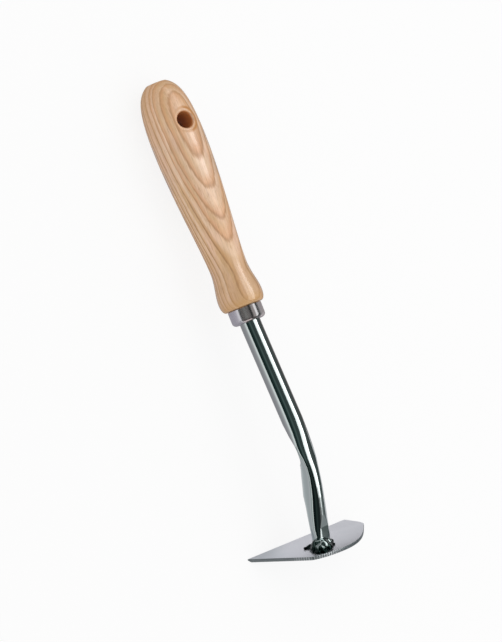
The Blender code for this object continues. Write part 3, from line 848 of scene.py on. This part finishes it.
def make_blade():
    ahead = np.roll(outline, -1, axis=0) - outline
    behind = outline - np.roll(outline, 1, axis=0)
    unit = [step / np.linalg.norm(step, axis=1)[:, None] for step in (ahead, behind)]
    heading = unit[0] + unit[1]
    inwards = np.stack([-heading[:, 1], heading[:, 0]], axis=1)
    inwards /= np.linalg.norm(inwards, axis=1)[:, None]
    walked = np.cumsum(np.linalg.norm(ahead, axis=1))
    ribbed = RIB_FADE * (1 - np.abs(outline[:, 0] - RIBS_AT[0]) / RIBS_AT[1])
    ribbed = np.clip(ribbed, 0, 1) * (outline[:, 1] > 0)
    crest = ribbed * (0.5 + 0.5 * np.cos(2 * pi * walked / RIB_PITCH))
    ribs = RIB_DEPTH * (ribbed - crest)
    rough = np.random.default_rng(7).normal(0, TEAR, (len(ROWS), len(outline)))
    shape = bmesh.new()
    rib = shape.verts.layers.float.new("rib")
    loops = []
    for (inset, depth), jitter in zip(ROWS, rough):
        torn = 1 if depth >= TORN_FROM else 0
        reach = inset + ribs * (1 if depth > 0.05 else 0.4) + torn * np.abs(jitter)
        spots = outline + inwards * reach[:, None]
        loops.append([shape.verts.new((x, y, SEAT + depth)) for x, y in spots])
        for vert, height in zip(loops[-1], crest):
            vert[rib] = height
    shape.faces.new(loops[0])
    shape.faces.new(reversed(loops[-1]))
    for low, high in zip(loops, loops[1:]):
        for i in range(len(low)):
            side = shape.faces.new((low[i - 1], low[i], high[i], high[i - 1]))
            side.material_index = 1
    slope = Vector((0, LAND - PLATE, BEVEL)).normalized()
    parts = shape.verts[:] + shape.edges[:] + shape.faces[:]
    bmesh.ops.bisect_plane(shape, geom=parts, dist=0.0001, clear_outer=True, plane_no=slope,
                           plane_co=(0, -EDGE_TO_FOOT, SEAT + LAND))
    rim = [edge for edge in shape.edges if edge.is_boundary]
    for face in bmesh.ops.contextual_create(shape, geom=rim)["faces"]:
        face.material_index = 2
    shape.transform(FOOT)
    mesh = bpy.data.meshes.new("blade_plate")
    shape.to_mesh(mesh)
    shape.free()
    for finish in (satin_steel(), sheared_steel(), ground_steel()):
        mesh.materials.append(finish)
    return close_up(show("blade_plate", mesh), sharp=radians(30))


blade = make_blade()
place(blade, "blade")

# %% [markdown]
# ## Weld
# The tube is welded to the plate all round, by hand, and plated with it. Such a bead is a
# row of drops that ran together, fattest where the welder started. Geometry Nodes set drops
# along wires, move each one a little, melt them into one skin as a volume and take its
# surface back as a mesh. Loose drops beside the bead are spatter.

# %% Weld: the tree
def weld_tree():
    add, inlet = new_tree("weld", {"Path": "Object", "Pitch": "Float", "Shake": "Float",
                                   "Voxel": "Float", "Bottom": "Float", "Seed": "Int",
                                   "Finish": "Material"})
    path = add("ObjectInfo", {"Object": inlet["Path"]}).outputs["Geometry"]
    curve = add("MeshToCurve", {"Mesh": path})
    drops = add("CurveToPoints", {"Curve": curve, "Length": inlet["Pitch"]}, mode="LENGTH")
    away = add("Math MULTIPLY", (inlet["Shake"], -1))
    shake = add("RandomValue FLOAT_VECTOR", {"Min": away, "Max": inlet["Shake"], "Seed": inlet["Seed"]})
    reach = add("InputNamedAttribute FLOAT", {"Name": "reach"})
    shake = add("VectorMath SCALE", (shake, reach))
    shaken = add("SetPosition", {"Geometry": drops, "Offset": shake})
    swell = add("RandomValue FLOAT", {"Min": 0.75, "Max": 1.15, "Seed": inlet["Seed"]})
    radius = add("Math MULTIPLY", (reach, swell))
    pool = add("PointsToVolume", {"Points": shaken, "Voxel Size": inlet["Voxel"], "Radius": radius},
               resolution_mode="VOXEL_SIZE")
    skin = add("VolumeToMesh", {"Volume": pool, "Threshold": 0.1})
    soft = add("BlurAttribute FLOAT_VECTOR", {"Value": add("InputPosition"), "Iterations": 4})
    skin = add("SetPosition", {"Geometry": skin, "Position": soft})
    # the plate stops the melt, so whatever lies below its face is pressed up to it
    x, y, z = add("SeparateXYZ", (add("InputPosition"),)).outputs
    low = add("Math MINIMUM", (z, inlet["Bottom"]))
    pressed = add("CombineXYZ", (x, y, low))
    skin = add("SetPosition", {"Geometry": skin, "Position": pressed})
    return end_tree(add, skin, inlet["Finish"])


WELD = weld_tree()

# %% Weld: finish
def chrome_over_weld():
    """Plated as it was welded: mirror bright but wavy, with painted shade low on the bead and on one
    side.
    """
    chrome, add, shader = new_material("chrome_over_weld")
    where = millimetres(add, FOOT)
    waves = add("TexNoise", (where, 0.45, 2))
    # painted shade and highlight: the bead's colour is dark at its foot and lighter higher up, where its
    # glints show, broken by the waves
    depth = add("SeparateXYZ", (where,)).outputs["Z"]
    height = add("Math MULTIPLY_ADD", (waves, -2.4, depth))
    height = add("MapRange", (height, -1.6, -4.4))
    # painted shade: darker still on the side towards the blade's point and cutting edge
    towards_heel = add("VectorMath DOT_PRODUCT", (where, (0.77, 0.64, 0)))
    painted_dimming = add("MapRange", (towards_heel, -4.4, -2.2, 0.5, 1))
    height = add("Math MULTIPLY", (height, painted_dimming))
    tone = add("ValToRGB", (height,), [(0, "#0C1514"), (0.45, "#1C2927"), (0.75, "#3C4A47"),
                                       (1, "#95A19F")])
    dress(add, shader, tone, waves, 0.3, 0.0005, {"Metallic": 1, "Roughness": 0.13})
    return chrome


# %% Weld: bead and spatter
LEG = 2.3              # how far the bead reaches over the plate
LUMP = 4.4             # how much further it does where the welder started
LUMP_TURN = radians(-40)
CLIMB = 1.3            # height of the bead over its leg
CLIMB_UP_TO = 4.4      # the leg from which it gets no higher
WIRES = [(0.22, 0.5, 0.5), (0.42, 0.12, 0.5), (0.74, -0.02, 0.3)]   # shares: out, up, fat
WIRE_STEPS = 72
SPATTER = [(5, 4.9, 0.9), (-7.6, 1.6, 0.4), (2.2, 9.4, 0.3),
           (-4.4, -8.3, 0.3), (6.4, 1.8, 0.45), (-11.6, 8.2, 0.35)]   # across, away, radius
TAIL = [(-5.4, -4, 0.2, 2.1), (-6.8, -4.7, 0.2, 1.5), (-8.2, -5.3, 0.2, 0.85)]
FOOT_SIZES = {name: row[0] for name, row in (SIZES | SHAPES).items()}


def foot_section(turn, growth):
    """The tube's outline where it meets the blade, across and away from the edge."""
    rise, spread = cos(turn), sin(turn)
    half, power = ("outer", "over") if rise > 0 else ("inner", "under")
    power = FOOT_SIZES[power]
    across_at = copysign(abs(spread) ** power, spread) * (FOOT_SIZES["across"] + growth)
    away_at = copysign(abs(rise) ** power, rise) * (FOOT_SIZES[half] + growth) + FOOT_SIZES["middle"]
    away_at += FOOT_SIZES["skew"] * across_at
    return across_at, min(away_at, FOOT_SIZES["flat"] + growth - FLAT_LEAN * across_at)


def make_weld():
    points, edges, reach = [], [], []

    def chain(spots, closed=False):
        first = len(points)
        for across_at, away_at, height, radius in spots:
            points.append((across_at, away_at, -height))
            reach.append(radius)
        edges.extend((i, i + 1) for i in range(first, len(points) - 1))
        if closed:
            edges.append((len(points) - 1, first))

    for out, up, fat in WIRES:
        spots = []
        for turn in (2 * pi * step / WIRE_STEPS for step in range(WIRE_STEPS)):
            leg = LEG + LUMP * max(0, cos(turn - LUMP_TURN)) ** 3
            spots.append((*foot_section(turn, out * leg), up * CLIMB * min(leg, CLIMB_UP_TO), fat * leg))
        chain(spots, closed=True)
    for across_at, away_at, radius in SPATTER:
        chain([(across_at, away_at, 0, radius), (across_at + 0.2, away_at, 0, radius)])
    chain(TAIL)
    path = wire("weld_path", points, edges, {"reach": reach})
    bead = grow(WELD, "chromed_weld", {"Path": path, "Pitch": 1.3, "Shake": 0.3, "Voxel": 0.24,
                                       "Bottom": SEAT + 0.1, "Seed": 5, "Finish": chrome_over_weld()})
    bead.data.transform(FOOT)
    return close_up(bead, sharp=pi, merge=0.00001)


weld = make_weld()
place(weld, "weld_bead")

# %% [markdown]
# ## Camera
# A long lens from 2 m away, as for a catalogue. It is aimed through one known point: the
# ferrule's face has to land on its own pixel, which the camera's sideways place decides.

# %% Camera
RIGHT, UP, BACK = (Vector(v).normalized() for v in
                   ((0.3676, 0.7727, 0.5175), (-0.9291, 0.2807, 0.2409), (0.0409, -0.5693, 0.8211)))
CAMERA_AWAY = 2                    # metres from the ferrule's face
PIXELS_PER_MM = 1.7837             # at that distance
IMAGE = (502, 642)
FERRULE_PIXEL = (250.01, 321.77)
SENSOR = 36


def make_camera():
    data = bpy.data.cameras.new("camera")
    data.sensor_width = SENSOR
    data.lens = PIXELS_PER_MM * CAMERA_AWAY * 1000 * SENSOR / IMAGE[1]
    right = (IMAGE[0] / 2 - FERRULE_PIXEL[0]) / PIXELS_PER_MM * MM
    up = (FERRULE_PIXEL[1] - IMAGE[1] / 2) / PIXELS_PER_MM * MM
    spot = Vector((FERRULE_FACE_AT * MM, 0, 0)) + BACK * CAMERA_AWAY + RIGHT * right + UP * up
    camera = show("camera", data)
    camera.matrix_world = (TOOL @ Matrix.Translation(spot)
                           @ Matrix((RIGHT, UP, BACK)).transposed().to_4x4())
    bpy.context.scene.camera = camera
    print("lens", round(data.lens, 1), "mm")


make_camera()

# %% [markdown]
# ## Floor and light
# A plain pale floor and one large softbox above. Polished steel shows whatever is around
# it, so what stands round the tool matters as much as the lamp: a dim room in front, the
# softbox's cloth above and a wall behind, each a curved card that only reflections see.

# %% Cards for reflections
SOFTBOX_HEIGHT = 0.9
SOFTBOX_LENGTH = 1.8
SOFTBOX_REACH = (radians(93.5), radians(131))   # from the horizon in front, over the top
SOFTBOX_CORE = radians(114)                     # it is brightest from here on
SOFTBOX_GLOW = 0.55    # radiance of the lamp that lights the scene
SOFTBOX_SHINE = 1.6    # radiance that mirrors see in its place
CORE_SHINE = 3.1       # and in its core, where the lamp's tube stands behind the cloth
FILL = 0.84            # the room's own light
FADE_OVER = 2          # metres along X that the ramps cover
UNEVEN = 0.16          # radians by which the room's tones waver
CLOTH_FADE = [(0.8, 1), (1.15, 0.12)]           # metres along X, share or tone
ROOM_FADE = [(0.1, 1), (0.7, 0.35)]
WALL_FADE = [(0, "#8A8E8D"), (0.14, "#7C8381"), (0.6, "#75807E"), (0.75, "#98A19F"),
             (1, "#C8CCCB"), (1.1, "#F4F4F4")]
ROOM = [(0, "#2C403F"), (22, "#1D2D2C"), (38, "#303F3E"), (46, "#566664"), (54, "#53615F"),
        (64, "#3C4746"), (90, "#4A5454"), (131, "#7A8080")]   # degrees, tone
WALL = [(131, "#BFC0C0"), (140, "#AEB0B0"), (150, "#A6A8A9"), (165, "#A0A4A6"), (180, "#8A8D8F")]


def card_material(name, fade, strength=1, tones=None):
    """What mirrors see: how it fades along X, and what tones it has by angle."""
    made, add, shader = new_material(name)
    nodes = made.node_tree.nodes
    nodes.remove(shader)
    where = add("TexCoord").outputs["Object"]
    x, y, z = add("SeparateXYZ", (where,)).outputs
    along_x = add("Math DIVIDE", (x, FADE_OVER))
    glow = add("ValToRGB", (along_x,), [(at / FADE_OVER, tone) for at, tone in fade])
    if tones:
        front = add("Math MULTIPLY", (y, -1))
        turn = add("Math ARCTAN2", (z, front))
        # things in the room stand unevenly, so the tones' borders waver along the tool
        blur = add("TexNoise", (where, 5, 3))
        turn = add("Math MULTIPLY_ADD", (blur, UNEVEN, turn))
        share = add("MapRange", (turn, UNEVEN / 2, pi + UNEVEN / 2))
        ramp = add("ValToRGB", (share,), [(degrees / 180, tone) for degrees, tone in tones])
        glow = add("VectorMath MULTIPLY", (ramp, glow))
    card = add("Emission", (glow, strength))
    feed(nodes["Material Output"], {"Surface": card})
    return made


def make_card(name, first, last, finish, radius=1.3, length=7, steps=24):
    """A curved card along X that only reflections see, between two angles round the tool."""
    shape = bmesh.new()
    rails = []
    for step in range(steps + 1):
        turn = first + (last - first) * step / steps
        rails.append([shape.verts.new((x, -radius * cos(turn), radius * sin(turn)))
                      for x in (-length / 2, length / 2)])
    for low, high in zip(rails, rails[1:]):
        shape.faces.new((*low, *high[::-1]))
    mesh = bpy.data.meshes.new(name)
    shape.to_mesh(mesh)
    shape.free()
    mesh.materials.append(finish)
    obj = show(name, mesh)
    obj.visible_camera = obj.visible_diffuse = obj.visible_shadow = obj.visible_transmission = False


# %% Floor, softbox and world
FLOOR_SIZE = 12
FLOOR_FROM = -0.26     # metres along Y that the floor's ramps cover
FLOOR_TO = 0.24
# painted shadow and shade on the floor, which only reflections see, by share along Y, with a ramp of its
# own beside the blade
OPEN_FLOOR = [(0, "#FFFFFF"), (0.21, "#E2E0E2"), (0.37, "#BFBABE"), (0.47, "#A6A2A7"),
              (0.56, "#A19DA2"), (0.66, "#847F80"), (1, "#6B6663")]
NEAR_BLADE = [(0, "#B0B4B4"), (0.22, "#BEC0C0"), (0.34, "#D4D2D6"), (0.42, "#C4C2C6"),
              (0.46, "#C0C1C4"), (0.48, "#C8C9CC"), (0.49, "#D4D5D8"), (0.505, "#E2E0E4"),
              (0.56, "#DFDDE0")]
FLOOR_SEEN = 0.85      # share of the floor's plain white that the camera sees; the rest is lit


def make_floor():
    bpy.ops.mesh.primitive_plane_add(size=FLOOR_SIZE)
    floor = bpy.context.object
    floor.name = "floor"
    paper, add, shader = new_material("white_paper")
    feed(shader, {"Base Color": "#F2F2F2", "Roughness": 1, "Specular IOR Level": 0})
    rays = add("LightPath").outputs
    seen = add("Math MULTIPLY", (rays["Is Camera Ray"], FLOOR_SEEN))
    seen = add("Math MAXIMUM", (seen, rays["Is Glossy Ray"]))
    # painted shadow for mirrors: they see the paper dim round the tool, where its shadow falls, with
    # painted shade towards the dark wall and white further off
    x, y, _ = add("SeparateXYZ", (add("TexCoord").outputs["Object"],)).outputs
    share = add("MapRange", (y, FLOOR_FROM, FLOOR_TO))
    open_floor = add("ValToRGB", (share,), OPEN_FLOOR)
    near_blade = add("ValToRGB", (share,), NEAR_BLADE)
    by_blade = add("MapRange", (x, 0.08, 0.09))
    shade = add("Mix RGBA", (by_blade, open_floor, near_blade))
    shade = add("Mix RGBA", (rays["Is Camera Ray"], shade, (1, 1, 1, 1)))
    white = add("Emission", (shade, 1))
    both = add("MixShader", (seen, shader, white))
    feed(paper.node_tree.nodes["Material Output"], {"Surface": both})
    floor.data.materials.append(paper)


def make_softbox():
    near, far = (-SOFTBOX_HEIGHT / tan(reach) for reach in SOFTBOX_REACH)
    lamp = bpy.data.lights.new("softbox", "AREA")
    lamp.shape = "RECTANGLE"
    lamp.size = SOFTBOX_LENGTH
    lamp.size_y = far - near
    lamp.energy = SOFTBOX_GLOW * pi * lamp.size * lamp.size_y
    obj = show("softbox", lamp)
    obj.location = (0, (near + far) / 2, SOFTBOX_HEIGHT)
    obj.visible_glossy = False
    print("softbox", round(lamp.size, 2), "by", round(lamp.size_y, 2), "m,", round(lamp.energy, 1), "W")


def make_world():
    """The camera and all reflections see white; the world lights the tool a little less."""
    world = bpy.data.worlds.new("studio")
    bpy.context.scene.world = world
    world.use_nodes = True
    add = partial(add_node, world.node_tree)
    rays = add("LightPath").outputs
    shown = add("Math MAXIMUM", (rays["Is Camera Ray"], rays["Is Glossy Ray"]))
    shown = add("Math MAXIMUM", (shown, rays["Is Transmission Ray"]))
    glow = add("MapRange", (shown, 0, 1, FILL, 1))
    feed(world.node_tree.nodes["Background"], {"Color": (1, 1, 1, 1), "Strength": glow})


make_world()
make_floor()
make_softbox()
make_card("softbox_seen", SOFTBOX_REACH[0], SOFTBOX_CORE,
          card_material("softbox_cloth", CLOTH_FADE, SOFTBOX_SHINE))
make_card("softbox_core", SOFTBOX_CORE, SOFTBOX_REACH[1],
          card_material("softbox_cloth", CLOTH_FADE, CORE_SHINE))
make_card("room_in_front", radians(9), SOFTBOX_REACH[0],
          card_material("dim_room", ROOM_FADE, tones=ROOM))
make_card("wall_behind", SOFTBOX_REACH[1], radians(179.5),
          card_material("dim_wall", WALL_FADE, tones=WALL))

# %% [markdown]
# ## Colours
# Colours are shown as they were written: the Standard view adds no contrast of its own.

# %% Colours
bpy.context.scene.view_settings.view_transform = "Standard"
